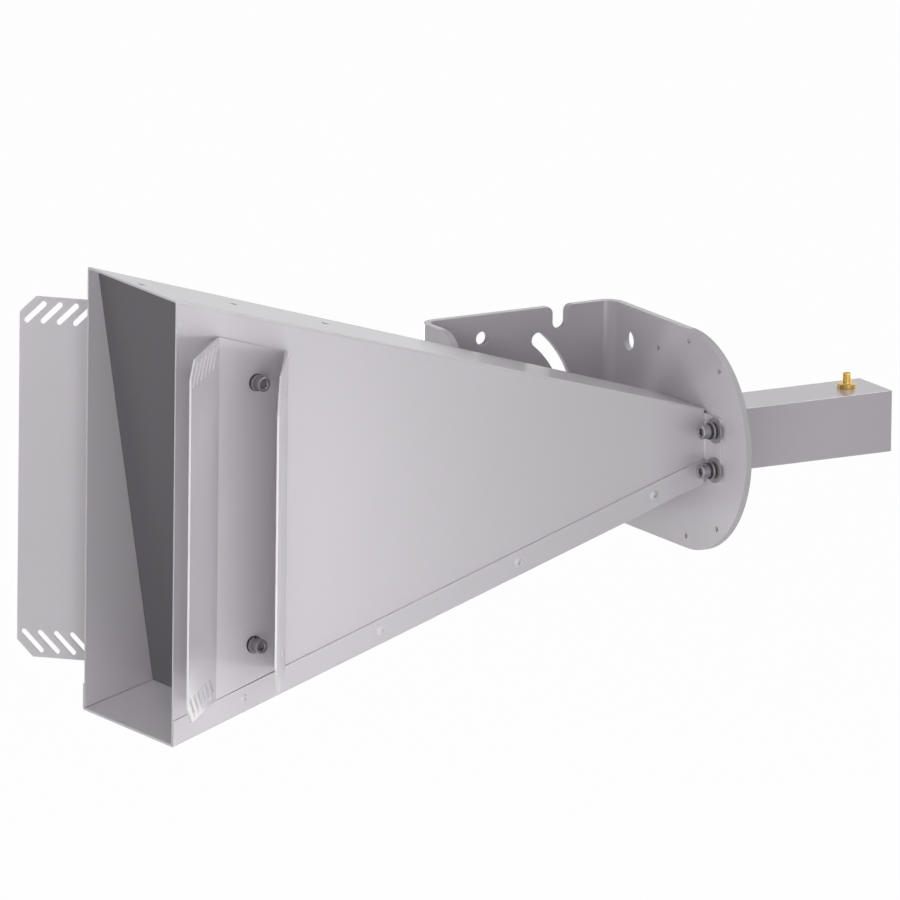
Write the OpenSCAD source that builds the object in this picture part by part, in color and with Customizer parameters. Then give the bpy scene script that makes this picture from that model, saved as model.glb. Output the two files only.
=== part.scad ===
// Sector antenna: a tall sheet horn with side fins, fed by a square waveguide
// and carried by a bent bracket. Millimetres, +Z up, with the mouth facing -Y.
// The sub-parts are drawn about the horn's axis, with Y = 0 at the mouth, and
// are then placed with the bracket's tilt pivot at the origin.

/* [Horn] */
// Outer width of the upper shell at the mouth
mouth_w = 121.2; // [105:0.1:140]
// Outer height of the horn at the mouth
mouth_h = 311; // [280:1:340]
// Outer width of the upper shell at the throat
throat_w = 54.4; // [48:0.1:60]
// Outer height of the horn at the throat
throat_h = 52.7; // [50:0.1:60]
// Length from the mouth to the front of the throat tabs
horn_len = 440.7; // [400:0.1:500]
// Thickness of the horn and fin sheet
sheet = 1.5; // [1:0.1:2]
// Inside radius of the shells' long folds
fold_r = 0.6; // [0.5:0.1:1.2]
// Height of the lower shell's side strips
strip_h = 18.4; // [15:0.1:24]
// Diameter of the small holes in the top wall
vent_d = 5.5; // [3:0.1:7]
// Distance of the first top hole from the mouth
vent_first = 13; // [10:0.5:30]
// Distance between the top holes
vent_pitch = 72.3; // [50:0.1:90]
// Number of top holes
vent_count = 3; // [1:1:4]
// Distance of the row of top holes to the left of the axis
vent_left = 9.5; // [0:0.5:20]

/* [Throat tabs] */
// Width of each tab beyond the horn's side
tab_w = 20.5; // [20:0.1:26]
// Inside radius of the tab bends
tab_r = 1; // [0.6:0.1:2]
// Height of the relief slots above and below each tab
relief_h = 0.8; // [0.8:0.1:3]
// Distance from the horn's side to the tab screws
tab_screw_x = 14.2; // [12.5:0.1:16]
// Distance between the upper and lower tab screws
tab_screw_z = 28; // [22:0.5:30]

/* [Radome] */
// Thickness of the radome panel
radome_t = 3; // [2:0.1:5]
// Set-back of the panel's front face at the top wall
radome_top = 7; // [3:0.5:9]
// Set-back of the panel's front face at the bottom wall
radome_bottom = 51; // [30:0.5:52]

/* [Fins] */
// Distance from the mouth to the front fold
fin_front = 35; // [30:0.5:40]
// Distance from the mouth to the rear fold
fin_rear = 86.5; // [84:0.5:100]
// Width of the front flange
front_flange_w = 79; // [78:0.5:90]
// Fold angle of the front flange
front_fold = 42; // [25:1:60]
// Corner chamfer of the front flange
front_chamfer = 11.5; // [6:0.5:16]
// Width of the rear flange
rear_flange_w = 98; // [80:0.5:110]
// Angle left between the rear flange and the horn's side
rear_angle = 52; // [45:0.5:60]
// Corner chamfer of the rear flange
rear_chamfer = 23; // [10:0.5:30]
// Inside radius of the fin folds
fin_r = 1.5; // [1:0.1:2.5]
// Number of slots at each end of the front flange
slot_count = 6; // [2:1:6]
// Distance between slots
slot_pitch = 11.5; // [8:0.1:11.6]
// Width of a slot
slot_w = 3.8; // [2:0.1:5]
// Length of a slot between the centres of its ends
slot_len = 17.3; // [10:0.1:20]
// Distance from the flange's edges to the ends of the first slot
slot_edge = 5; // [4:0.1:8]
// Distance from the mouth to the fin screws
fin_screw_y = 65; // [62:0.5:72]
// Height of the fin screws above and below the axis
fin_screw_z = 91.5; // [80:0.5:94]
// Diameter of the key holes in the rear flange
key_hole_d = 6; // [5:0.1:8]

/* [Screws] */
// Diameter of the screw shanks
screw_d = 6; // [5:0.1:6]
// Diameter of the screw heads
head_d = 10; // [9:0.1:11]
// Height of the screw heads
head_h = 6; // [4:0.1:7]
// Width of the hex sockets across their flats
socket_af = 5; // [3:0.1:5]
// Depth of the hex sockets
socket_depth = 3; // [2:0.1:4]
// Edge chamfer of the heads
head_chamfer = 0.6; // [0.3:0.1:1]
// Clearance across the shank in plates and sheets
screw_clear = 0.6; // [0.3:0.1:1]
// Clearance across the shank in washers and nuts
washer_clear = 0.2; // [0.1:0.1:0.6]
// Outside diameter of the lock washers
lock_d = 11.4; // [10:0.1:12]
// Thickness of the lock washers
lock_t = 1.6; // [1:0.1:2]
// Gap of the lock washers' split
lock_gap = 1; // [0.5:0.1:2]
// Slant of the lock washers' split
lock_slant = 25; // [0:1:40]
// Outside diameter of the flat washers
washer_d = 12; // [11:0.1:14]
// Outside diameter of the wide washers at the throat
wide_washer_d = 18; // [14:0.1:18]
// Thickness of the flat washers
washer_t = 1.6; // [1:0.1:2]
// Width of the nuts across their flats
nut_af = 10; // [9:0.1:11]
// Thickness of the nuts
nut_h = 5; // [4:0.1:6]
// Length of shank that stands out past the nuts
screw_end = 2; // [1:0.1:4]

/* [Rivets] */
// Distance from the mouth to the first rivet
rivet_first = 57.4; // [56:0.5:62]
// Distance between rivets
rivet_pitch = 113.3; // [90:0.1:115]
// Number of rivets on each side
rivet_count = 4; // [2:1:4]
// Height of the rivets above the horn's bottom edge
rivet_rise = 10; // [8:0.1:11]
// Diameter of the rivet heads
rivet_head_d = 7.3; // [6:0.1:8]
// Height of the rivet heads
rivet_head_h = 1.2; // [0.8:0.1:1.6]
// Diameter of the rivet shanks
rivet_d = 4; // [3:0.1:5]
// Diameter of the mandrel hole in the rivet heads
rivet_hole_d = 2.4; // [1.5:0.1:2.6]
// Diameter of the formed ends inside the horn
rivet_bulb_d = 5.6; // [5.2:0.1:6.5]
// Length of the formed ends inside the horn
rivet_bulb_h = 3; // [2:0.1:4]
// Clearance across the shanks in the sheets
rivet_clear = 0.2; // [0.1:0.1:0.4]

/* [Bracket] */
// Thickness of the bracket plate
plate_t = 5; // [4:0.1:6]
// Height of the bracket
bracket_h = 155; // [148:1:180]
// Distance from the horn's axis to the web's outer face
web_x = 106.7; // [104:0.1:130]
// Inside radius of the bracket's bends
plate_r = 8; // [5:0.5:10]
// Distance from the plate's front face to the return flange's front face
web_len = 154; // [150:0.5:170]
// Reach of the return flange from the web's outer face
return_w = 52.5; // [45:0.5:54]
// Corner radius of the return flange
return_r = 21; // [10:0.5:25]
// Distance from the plate's front face to the tilt pivot
pivot_y = 104; // [100:0.1:110]
// Diameter of the tilt pivot hole
pivot_d = 10.5; // [8:0.1:12]
// Radius of the tilt slot about the pivot
tilt_r = 71; // [68:0.1:74]
// Width of the tilt slot
tilt_w = 10.4; // [8:0.1:11]
// Angle from the axis to each end of the tilt slot
tilt_ang = 50.5; // [35:0.5:52]
// Diameter of the holes above and below the pivot
web_hole_d = 9.8; // [8:0.1:11]
// Height of these holes above and below the pivot
web_hole_z = 60.7; // [56:0.1:64]
// Distance from the plate's front face to the edge notches
notch_y = 42; // [38:0.1:44]
// Width of the edge notches
notch_w = 11; // [8:0.1:12]
// Depth of the edge notches
notch_depth = 16.5; // [12:0.1:18]
// Corner radius at the mouth of the notches
notch_r = 5; // [2:0.1:6]
// Distance from the axis to the plate's large holes
plate_hole_x = 79; // [74:0.1:80]
// Height of the plate's large holes above and below the axis
plate_hole_z = 53; // [50:0.1:56]
// Diameter of the plate's large holes
plate_hole_d = 14; // [10:0.1:15]
// Distance from the horn's axis to the centre of the plate's round end
round_x = 1.6; // [0:0.1:4]
// Distance from the plate's round edge to the ring of small holes
ring_edge = 8.5; // [7.5:0.1:11.5]
// Diameter of the ring's small holes
ring_hole_d = 4; // [3:0.1:5]
// Angle between neighbouring holes of the ring
ring_step = 36; // [30:1:40]

/* [Waveguide] */
// Outer width of the square tube
tube_w = 43.4; // [40:0.1:46]
// Wall of the tube
tube_wall = 1.5; // [1.2:0.1:2]
// Outer corner radius of the tube
tube_r = 0.8; // [0.4:0.1:1.2]
// Length of the tube from the plate's front face
tube_len = 152.9; // [130:0.1:180]
// Thickness of the end plate
end_t = 2; // [1.5:0.1:4]
// Clearance of the tube in the plate and of the end plate in the tube
tube_clear = 0.1; // [0.05:0.05:0.3]

/* [Connector] */
// Distance from the tube's rear end to the connector
feed_back = 23.6; // [18:0.1:30]
// Diameter of the connector's flange
flange_d = 13; // [10:0.1:16]
// Thickness of the connector's flange
flange_t = 3.2; // [2:0.1:4]
// Diameter of the connector's barrel
barrel_d = 6.35; // [6:0.01:7]
// Height of the barrel above the flange
barrel_h = 7.4; // [5:0.1:12]
// Radius of the barrel's top edge
barrel_edge = 0.8; // [0.3:0.1:0.8]
// Diameter of the insulator
insulator_d = 4.1; // [3.6:0.1:4.5]
// Depth of the insulator's face below the barrel's top
insulator_sink = 1.9; // [1:0.1:3]
// Diameter of the probe
probe_d = 1.3; // [1:0.1:2]
// Reach of the probe into the tube
probe_len = 13; // [8:0.1:20]
// Clearance across the insulator and the probe
feed_clear = 0.1; // [0.05:0.05:0.3]

/* [Hidden] */
$fn = 64;

// Gap left between the two shells, and between them and the bracket plate
fold_gap = 0.1;
// Gap left between the radome panel and the walls round it
radome_gap = 0.3;
// Gap left between the fins and the strips
fin_gap = 0.3;
// Gap left under what lies on the horn's slanting sides
seat_gap = 0.03;
// Gap left between the strips and the tab bends
strip_gap = 0.5;
// Corner radius of the tabs
tab_corner = 3;
// Length by which cutters stand past what they cut
past = 1;
// Length by which a flat runs into the bend beside it
lap = 0.2;
// Depth by which a bend lies inside the flats that run into it
bend_inset = 0.01;
// Amount by which the tilt slot's drilled ends are wider than the slot
slot_flare = 0.1;

side_slope = (mouth_w - throat_w) / 2 / horn_len;
top_slope = (mouth_h - throat_h) / 2 / horn_len;
side_ang = atan(side_slope);
top_ang = atan(top_slope);
side_normal = [cos(side_ang), sin(side_ang), 0];
top_normal = [0, sin(top_ang), cos(top_ang)];
bottom_normal = [0, sin(top_ang), -cos(top_ang)];

plate_y = horn_len + sheet;
plate_back = plate_y + plate_t;
tab_cy = horn_len - tab_r;
tab_cx = half_w(tab_cy, 0) + tab_r / cos(side_ang);
tab_start = tab_cy - (tab_r + sheet) * sin(side_ang);
relief_z = top_z(plate_y, sheet) - fold_gap;
tab_h = 2 * (relief_z - relief_h);
tab_end = throat_w / 2 + tab_w;
throat_screw_x = throat_w / 2 + tab_screw_x;
inner_lock_z = washer_t;
throat_flat_z = inner_lock_z + lock_t;
outer_lock_z = throat_flat_z + washer_t;
throat_seat = outer_lock_z + lock_t;

// Height of the sides' lower edges over the bottom wall, clear of its folds by half the gap
side_rise = fold_r - sqrt(fold_r * fold_gap - pow(fold_gap / 2, 2));
strip_out = fold_gap + sheet;
rivet_grip = seat_gap + strip_out + sheet + seat_gap;
fin_drop = strip_h + fin_gap;
fin_y1 = fin_front / cos(side_ang);
fin_y2 = fin_rear / cos(side_ang);
fin_z1 = top_z(fin_front, 0) - fin_drop;
fin_z2 = top_z(fin_rear + fin_r + sheet, 0) - fin_drop;
fin_seat = seat_gap + sheet;
fin_screw_s = fin_screw_y / cos(side_ang);
key_hole_s = (fin_y2 + (fin_r + sheet / 2) * sin(rear_angle) - fin_screw_s) / cos(rear_angle);

bend_x = plate_t + plate_r - web_x;
ring_r = bracket_h / 2 - ring_edge;
return_y = plate_y - web_len;
tube_end = plate_y + tube_len;
feed_y = tube_end - feed_back;
barrel_top = tube_w / 2 + flange_t + barrel_h;

function unit(v) = v / norm(v);

// Half the upper shell's width at a distance y from the mouth, set in from its outer face
function half_w(y, inset) = mouth_w / 2 - y * side_slope - inset / cos(side_ang);

// Height of the top wall at a distance y from the mouth, set in from its outer face
function top_z(y, inset) = mouth_h / 2 - y * top_slope - inset / cos(top_ang);

// Placing

module placed() {
  translate([web_x, pivot_y - plate_y, 0]) children();
}

module both_sides() {
  children();
  mirror([1, 0, 0]) children();
}

module above_and_below() {
  children();
  mirror([0, 0, 1]) children();
}

// A frame on the right side's outer face: x outwards, y along the wall to the rear
module on_side() {
  translate([mouth_w / 2, 0, 0]) rotate([0, 0, side_ang]) children();
}

module at_fin_screws() {
  both_sides() above_and_below() on_side()
    translate([0, fin_screw_s, fin_screw_z]) rotate([0, 90, 0]) children();
}

module at_throat_screws() {
  both_sides() above_and_below()
    translate([throat_screw_x, 0, tab_screw_z / 2]) rotate([90, 0, 0]) children();
}

module at_rivets() {
  both_sides() for (i = [0 : rivet_count - 1]) {
    y = rivet_first + i * rivet_pitch;
    on_side() translate([strip_out + seat_gap, y / cos(side_ang), rivet_rise - top_z(y, 0)])
      rotate([0, 90, 0]) children();
  }
}

// Drawing planes

// A shape drawn in X and Y, from z0 up to z1
module in_plan(z0, z1) {
  translate([0, 0, z0]) linear_extrude(z1 - z0) children();
}

// A shape drawn in Y and Z, from x0 to x1
module in_side(x0, x1) {
  translate([x0, 0, 0]) rotate([90, 0, 90]) linear_extrude(x1 - x0) children();
}

// A shape drawn in X and Z, from y0 back to y1
module in_front(y0, y1) {
  translate([0, y1, 0]) rotate([90, 0, 0]) linear_extrude(y1 - y0) children();
}

// Shared shapes

module ring_sector(r_in, r_out, from, to) {
  reach = 2 * r_out;
  intersection() {
    difference() {
      circle(r_out);
      circle(r_in);
    }
    polygon(concat([[0, 0]], [for (i = [0 : 3]) let (a = from + (to - from) * i / 3)
      reach * [cos(a), sin(a)]]));
  }
}

// A bend of the horn and fin sheet about Z, by its inside radius, end angles and half height
module sheet_bend(r, from, to, z) {
  in_plan(bend_inset - z, z - bend_inset)
    ring_sector(r - bend_inset, r + sheet - bend_inset, from, to);
}

module rounded_square(w, r) {
  square([w, w - 2 * r], center = true);
  square([w - 2 * r, w], center = true);
  for (x = [-1, 1], y = [-1, 1]) translate([x, y] * (w / 2 - r)) circle(r);
}

// A plate from x0 to x1 with both corners at x1 rounded
module end_rounded(x0, x1, h, r) {
  translate([x0, -h / 2]) square([x1 - x0 - r, h]);
  translate([x0, r - h / 2]) square([x1 - x0, h - 2 * r]);
  for (z = [-1, 1]) translate([x1 - r, z * (h / 2 - r)]) circle(r);
}

// A straight slot with round ends between two points
module slot(a, b, w) {
  d = b - a;
  translate(a) rotate(atan2(d[1], d[0])) translate([0, -w / 2]) square([norm(d), w]);
  for (p = [a, b]) translate(p) circle(d = w);
}

// What a fold of radius r takes off the sharp edge from a to b, between faces with normals n1 and n2
module edge_cut(a, b, n1, n2, r) {
  d = unit(b - a);
  tilt = acos(d[2]);
  turn = atan2(d[1], d[0]);
  ex = [cos(turn) * cos(tilt), sin(turn) * cos(tilt), -sin(tilt)];
  ey = [-sin(turn), cos(turn), 0];
  m1 = [n1 * ex, n1 * ey];
  m2 = [n2 * ex, n2 * ey];
  centre = -r / (1 + n1 * n2) * (m1 + m2);
  reach = r + past;
  translate(a - reach * d) rotate([0, tilt, turn]) linear_extrude(norm(b - a) + 2 * reach)
    difference() {
      polygon([centre, centre + reach * m1, centre + reach * (m1 + m2), centre + reach * m2]);
      translate(centre) circle(r);
    }
}

// The space between the horn's side planes, from y0 to y1. Its top and bottom heights are given at y0 and y1.
module tapered_block(inset, top, bottom, y0, y1) {
  w0 = half_w(y0, inset);
  w1 = half_w(y1, inset);
  intersection() {
    in_plan(-mouth_h, mouth_h) polygon([[-w0, y0], [w0, y0], [w1, y1], [-w1, y1]]);
    in_side(-mouth_w, mouth_w)
      polygon([[y0, bottom[0]], [y1, bottom[1]], [y1, top[1]], [y0, top[0]]]);
  }
}

// The space under the top wall, with its long upper edges rounded
module upper_core(inset, r, floor_inset, y0, y1) {
  difference() {
    tapered_block(inset, [top_z(y0, inset), top_z(y1, inset)],
      [-top_z(y0, floor_inset), -top_z(y1, floor_inset)], y0, y1);
    both_sides() edge_cut([half_w(y0, inset), y0, top_z(y0, inset)],
      [half_w(y1, inset), y1, top_z(y1, inset)], side_normal, top_normal, r);
  }
}

// The space over the bottom wall up to a height above its outer face, with its long lower edges rounded
module lower_core(outset, floor_inset, r, rise, y0, y1) {
  difference() {
    tapered_block(-outset, [rise - top_z(y0, 0), rise - top_z(y1, 0)],
      [-top_z(y0, floor_inset), -top_z(y1, floor_inset)], y0, y1);
    both_sides() edge_cut([half_w(y0, -outset), y0, -top_z(y0, floor_inset)],
      [half_w(y1, -outset), y1, -top_z(y1, floor_inset)], side_normal, bottom_normal, r);
  }
}

// What the sides and strips leave free behind y, between the top and bottom walls
module throat_gap(y) {
  translate([-mouth_w / 2, y, -relief_z]) cube([mouth_w, plate_t + plate_y - y, 2 * relief_z]);
}

// What is cut off the ends of the shells' long folds behind y, so that the tabs can bend
module corner_relief(y) {
  both_sides() above_and_below() translate([throat_w / 2 - fold_r - sheet, y, relief_z - lap])
    cube([tab_w, plate_t + plate_y - y, fold_r + 2 * sheet]);
}

// Fasteners, drawn along +Z with the seat of the stack at Z = 0

module washer(d, t) {
  difference() {
    cylinder(h = t, d = d);
    translate([0, 0, -past]) cylinder(h = t + 2 * past, d = screw_d + washer_clear);
  }
}

module lock_washer() {
  difference() {
    washer(lock_d, lock_t);
    rotate([lock_slant, 0, 0]) translate([0, -lock_gap / 2, -lock_d]) cube([lock_d, lock_gap, 2 * lock_d]);
  }
}

// A socket head screw whose shank goes down by a length from Z = 0
module cap_screw(length) {
  difference() {
    union() {
      translate([0, 0, -length]) cylinder(h = length, d = screw_d);
      rotate_extrude() polygon([[0, 0], [head_d / 2, 0], [head_d / 2, head_h - head_chamfer],
        [head_d / 2 - head_chamfer, head_h], [0, head_h]]);
    }
    translate([0, 0, head_h - socket_depth])
      cylinder(h = socket_depth + past, d = socket_af / cos(30), $fn = 6);
  }
}

// A hex nut with chamfered corners, from Z = 0 up
module hex_nut() {
  corner = nut_af / 2 / cos(30);
  fall = (corner - nut_af / 2) * tan(30);
  difference() {
    intersection() {
      cylinder(h = nut_h, r = corner, $fn = 6);
      rotate_extrude() polygon([[0, 0], [nut_af / 2, 0], [corner, fall], [corner, nut_h - fall],
        [nut_af / 2, nut_h], [0, nut_h]]);
    }
    translate([0, 0, -past]) cylinder(h = nut_h + 2 * past, d = screw_d + washer_clear);
  }
}

// A blind rivet through a grip below Z = 0, with a domed head above and a formed end below
module blind_rivet(grip) {
  dome_r = (pow(rivet_head_d / 2, 2) + pow(rivet_head_h, 2)) / (2 * rivet_head_h);
  rotate_extrude() {
    difference() {
      intersection() {
        translate([0, rivet_head_h - dome_r]) circle(dome_r, $fn = 128);
        square([rivet_head_d / 2, rivet_head_h]);
      }
      square([rivet_hole_d / 2, 2 * rivet_head_h]);
    }
    translate([0, -grip - rivet_bulb_h]) square([rivet_d / 2, grip + rivet_bulb_h]);
    translate([0, -grip - rivet_bulb_h]) square([rivet_bulb_d / 2, rivet_bulb_h]);
  }
}

// Horn

// The bend and the flat of one throat tab
module throat_tab() {
  translate([tab_cx, tab_cy, 0]) sheet_bend(tab_r, 90, 180 + side_ang, tab_h / 2);
  in_front(horn_len, plate_y) end_rounded(tab_cx - lap, tab_end, tab_h, tab_corner);
}

module horn_upper_shell() {
  color([0.74, 0.73, 0.75]) difference() {
    union() {
      difference() {
        upper_core(0, fold_r + sheet, sheet + side_rise, 0, plate_y - fold_gap);
        upper_core(sheet, fold_r, -sheet, -past, plate_y + past);
        throat_gap(tab_cy);
      }
      both_sides() throat_tab();
    }
    corner_relief(tab_cy);
    for (i = [0 : vent_count - 1]) translate([-vent_left, vent_first + i * vent_pitch, 0])
      cylinder(h = mouth_h, d = vent_d);
    at_fin_screws() translate([0, 0, -sheet - past])
      cylinder(h = sheet + 2 * past, d = screw_d + screw_clear);
    at_throat_screws() translate([0, 0, -plate_y - past])
      cylinder(h = sheet + 2 * past, d = screw_d + screw_clear);
    at_rivets() translate([0, 0, -rivet_grip - past])
      cylinder(h = rivet_grip + past, d = rivet_d + rivet_clear);
  }
}

module horn_lower_shell() {
  color([0.72, 0.71, 0.73]) difference() {
    lower_core(strip_out, 0, fold_r + sheet, strip_h, 0, plate_y - fold_gap);
    lower_core(fold_gap, sheet, fold_r, strip_h + past, -past, plate_y + past);
    throat_gap(tab_start - strip_gap);
    corner_relief(tab_start - strip_gap);
    at_rivets() translate([0, 0, -rivet_grip])
      cylinder(h = rivet_grip + past, d = rivet_d + rivet_clear);
  }
}

module shell_rivets() {
  color([0.78, 0.77, 0.79]) at_rivets() blind_rivet(rivet_grip);
}

module radome_panel() {
  inset = sheet + radome_gap;
  z_top = top_z(radome_top, sheet);
  z_bottom = -top_z(radome_bottom, sheet);
  lean = (radome_bottom - radome_top) / (z_top - z_bottom);
  y_high = radome_top - lean * past;
  y_low = radome_bottom + lean * past;
  depth = radome_t / cos(atan(lean));
  color([0.4, 0.39, 0.41]) intersection() {
    upper_core(inset, fold_r, inset, -mouth_h / 4, horn_len / 2);
    in_side(-mouth_w, mouth_w) polygon([[y_high, z_top + past], [y_high + depth, z_top + past],
      [y_low + depth, z_bottom - past], [y_low, z_bottom - past]]);
  }
}

// Fins

// The front flange's outline, from its free edge at -w to its fold at 0
module front_flange_outline() {
  z = fin_z1;
  c = front_chamfer;
  w = front_flange_w;
  rise = slot_len / sqrt(2);
  difference() {
    polygon([[lap, -z], [c - w, -z], [-w, c - z], [-w, z - c], [c - w, z], [lap, z]]);
    for (side = [-1, 1], i = [0 : slot_count - 1])
      slot([slot_edge + i * slot_pitch - w, side * (z - slot_edge - rise)],
        [slot_edge + i * slot_pitch - w + rise, side * (z - slot_edge)], slot_w);
  }
}

// The rear flange's outline, from its fold at 0 to its free edge at w
module rear_flange_outline() {
  z = fin_z2;
  c = rear_chamfer;
  w = rear_flange_w;
  difference() {
    polygon([[-lap, -z], [w - c, -z], [w, c - z], [w, z - c], [w - c, z], [-lap, z]]);
    for (side = [-1, 1]) translate([key_hole_s, side * fin_screw_z]) circle(d = key_hole_d);
  }
}

module fin() {
  bend_r = fin_r + sheet;
  on_side() translate([seat_gap, 0, 0]) {
    difference() {
      in_side(0, sheet) polygon([[fin_y1 - lap, -fin_z1], [fin_y1, -fin_z1], [fin_y2, -fin_z2],
        [fin_y2 + lap, -fin_z2], [fin_y2 + lap, fin_z2], [fin_y2, fin_z2], [fin_y1, fin_z1],
        [fin_y1 - lap, fin_z1]]);
      above_and_below() translate([-past, fin_screw_s, fin_screw_z]) rotate([0, 90, 0])
        cylinder(h = sheet + 2 * past, d = screw_d + screw_clear);
    }
    translate([bend_r, fin_y1, 0]) {
      sheet_bend(fin_r, 180, 180 + front_fold, fin_z1);
      rotate([0, 0, front_fold]) in_side(-bend_r, -fin_r) front_flange_outline();
    }
    translate([bend_r, fin_y2, 0]) {
      sheet_bend(fin_r, rear_angle, 180, fin_z2);
      rotate([0, 0, rear_angle - 180]) in_side(-bend_r, -fin_r) rear_flange_outline();
    }
  }
}

module fin_right() {
  color([0.73, 0.72, 0.74]) fin();
}

module fin_left() {
  color([0.73, 0.72, 0.74]) mirror([1, 0, 0]) fin();
}

module fin_flat_washers() {
  color([0.5, 0.5, 0.52]) at_fin_screws() translate([0, 0, fin_seat]) washer(washer_d, washer_t);
}

module fin_lock_washers() {
  color([0.36, 0.36, 0.38]) at_fin_screws() translate([0, 0, fin_seat + washer_t]) lock_washer();
}

module fin_screws() {
  seat = fin_seat + washer_t + lock_t;
  color([0.45, 0.45, 0.47]) at_fin_screws() translate([0, 0, seat])
    cap_screw(seat + fin_seat + nut_h + screw_end);
}

module fin_nuts() {
  color([0.5, 0.5, 0.52]) at_fin_screws() translate([0, 0, -fin_seat - nut_h]) hex_nut();
}

// Bracket

module plate_outline() {
  difference() {
    union() {
      translate([bend_x, -bracket_h / 2]) square([round_x - bend_x, bracket_h]);
      translate([round_x, 0]) circle(d = bracket_h, $fn = 128);
    }
    square(tube_w + 2 * tube_clear, center = true);
    for (z = [-1, 1]) translate([-plate_hole_x, z * plate_hole_z]) circle(d = plate_hole_d);
    for (pole = [90, -90], i = [-1 : 1]) translate([round_x, 0])
      rotate(pole + i * ring_step) translate([ring_r, 0]) circle(d = ring_hole_d);
    for (x = [-1, 1], z = [-1, 1]) translate([x * throat_screw_x, z * tab_screw_z / 2])
      circle(d = screw_d + screw_clear);
  }
}

// An open notch in an edge that lies along Y at Z = 0, with its mouth corners rounded
module notch_outline() {
  translate([0, notch_w / 2 - notch_depth]) {
    circle(d = notch_w);
    translate([-notch_w / 2, 0]) square([notch_w, notch_depth + past]);
  }
  for (y = [-1, 1]) difference() {
    translate([y * (notch_w + notch_r) / 2, (past - notch_r) / 2])
      square([notch_r, notch_r + past], center = true);
    translate([y * (notch_w / 2 + notch_r), -notch_r]) circle(notch_r);
  }
}

// The web's outline, with the pivot at the centre and the plate's bend at the right
module web_outline() {
  y0 = return_y + plate_t + plate_r - plate_y + pivot_y;
  y1 = pivot_y - plate_r;
  difference() {
    translate([y0, -bracket_h / 2]) square([y1 - y0, bracket_h]);
    circle(d = pivot_d);
    for (z = [-1, 1]) translate([0, z * web_hole_z]) circle(d = web_hole_d);
    ring_sector(tilt_r - tilt_w / 2, tilt_r + tilt_w / 2, -tilt_ang, tilt_ang);
    for (side = [-1, 1]) rotate(side * tilt_ang) translate([tilt_r, 0]) circle(d = tilt_w + slot_flare);
    for (side = [0, 1]) mirror([0, side]) translate([pivot_y - notch_y, bracket_h / 2]) notch_outline();
  }
}

module mount_bracket() {
  bend_out = plate_r + plate_t;
  color([0.7, 0.69, 0.71]) {
    in_front(plate_y, plate_back) plate_outline();
    in_plan(-bracket_h / 2, bracket_h / 2) {
      translate([bend_x, plate_y - plate_r]) ring_sector(plate_r, bend_out, 90, 180);
      translate([bend_x, return_y + bend_out]) ring_sector(plate_r, bend_out, 180, 270);
    }
    translate([-web_x, plate_y - pivot_y, 0]) in_side(0, plate_t) web_outline();
    in_front(return_y, return_y + plate_t) end_rounded(bend_x, return_w - web_x, bracket_h, return_r);
  }
}

module throat_wide_washers() {
  color([0.5, 0.5, 0.52]) at_throat_screws() translate([0, 0, -horn_len]) washer(wide_washer_d, washer_t);
}

module throat_flat_washers() {
  color([0.5, 0.5, 0.52]) at_throat_screws() translate([0, 0, throat_flat_z - horn_len])
    washer(washer_d, washer_t);
}

module throat_lock_washers() {
  color([0.3, 0.3, 0.32]) at_throat_screws() for (z = [inner_lock_z, outer_lock_z])
    translate([0, 0, z - horn_len]) lock_washer();
}

module throat_screws() {
  color([0.45, 0.45, 0.47]) at_throat_screws() translate([0, 0, throat_seat - horn_len])
    cap_screw(throat_seat + sheet + plate_t + washer_t + nut_h + screw_end);
}

module throat_nut_washers() {
  color([0.5, 0.5, 0.52]) at_throat_screws() translate([0, 0, -plate_back - washer_t])
    washer(washer_d, washer_t);
}

module throat_nuts() {
  color([0.5, 0.5, 0.52]) at_throat_screws() translate([0, 0, -plate_back - washer_t - nut_h]) hex_nut();
}

// Waveguide and connector

module waveguide_tube() {
  color([0.68, 0.67, 0.69]) difference() {
    in_front(plate_y, tube_end) difference() {
      rounded_square(tube_w, tube_r);
      square(tube_w - 2 * tube_wall, center = true);
    }
    translate([0, feed_y, 0]) cylinder(h = tube_w, d = insulator_d + feed_clear);
  }
}

module waveguide_end_plate() {
  color([0.68, 0.67, 0.69]) in_front(tube_end - end_t, tube_end)
    square(tube_w - 2 * tube_wall - 2 * tube_clear, center = true);
}

module connector_body() {
  r = barrel_d / 2;
  h = flange_t + barrel_h;
  color([0.85, 0.66, 0.2]) translate([0, feed_y, tube_w / 2]) rotate_extrude() difference() {
    union() {
      square([flange_d / 2, flange_t]);
      square([r, h - barrel_edge]);
      square([r - barrel_edge, h]);
      translate([r - barrel_edge, h - barrel_edge]) circle(barrel_edge);
    }
    translate([0, -past]) square([(insulator_d + feed_clear) / 2, h + 2 * past]);
  }
}

module connector_insulator() {
  low = tube_w / 2 - tube_wall;
  color([0.93, 0.92, 0.9]) translate([0, feed_y, low]) difference() {
    cylinder(h = barrel_top - insulator_sink - low, d = insulator_d);
    translate([0, 0, -past]) cylinder(h = barrel_top, d = probe_d + feed_clear);
  }
}

module feed_probe() {
  low = tube_w / 2 - tube_wall - probe_len;
  color([0.85, 0.66, 0.2]) translate([0, feed_y, low])
    cylinder(h = barrel_top - insulator_sink - low, d = probe_d);
}

placed() horn_upper_shell();
placed() horn_lower_shell();
placed() shell_rivets();
placed() radome_panel();
placed() fin_left();
placed() fin_right();
placed() fin_screws();
placed() fin_lock_washers();
placed() fin_flat_washers();
placed() fin_nuts();
placed() mount_bracket();
placed() throat_screws();
placed() throat_lock_washers();
placed() throat_flat_washers();
placed() throat_wide_washers();
placed() throat_nut_washers();
placed() throat_nuts();
placed() waveguide_tube();
placed() waveguide_end_plate();
placed() connector_body();
placed() connector_insulator();
placed() feed_probe();
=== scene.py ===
"""Dresses the sector antenna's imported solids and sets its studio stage.

The sheet pieces get broken edges, the screws get fluted heads and threads, and every
piece gets its finish. Lengths are in metres.
"""

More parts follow.
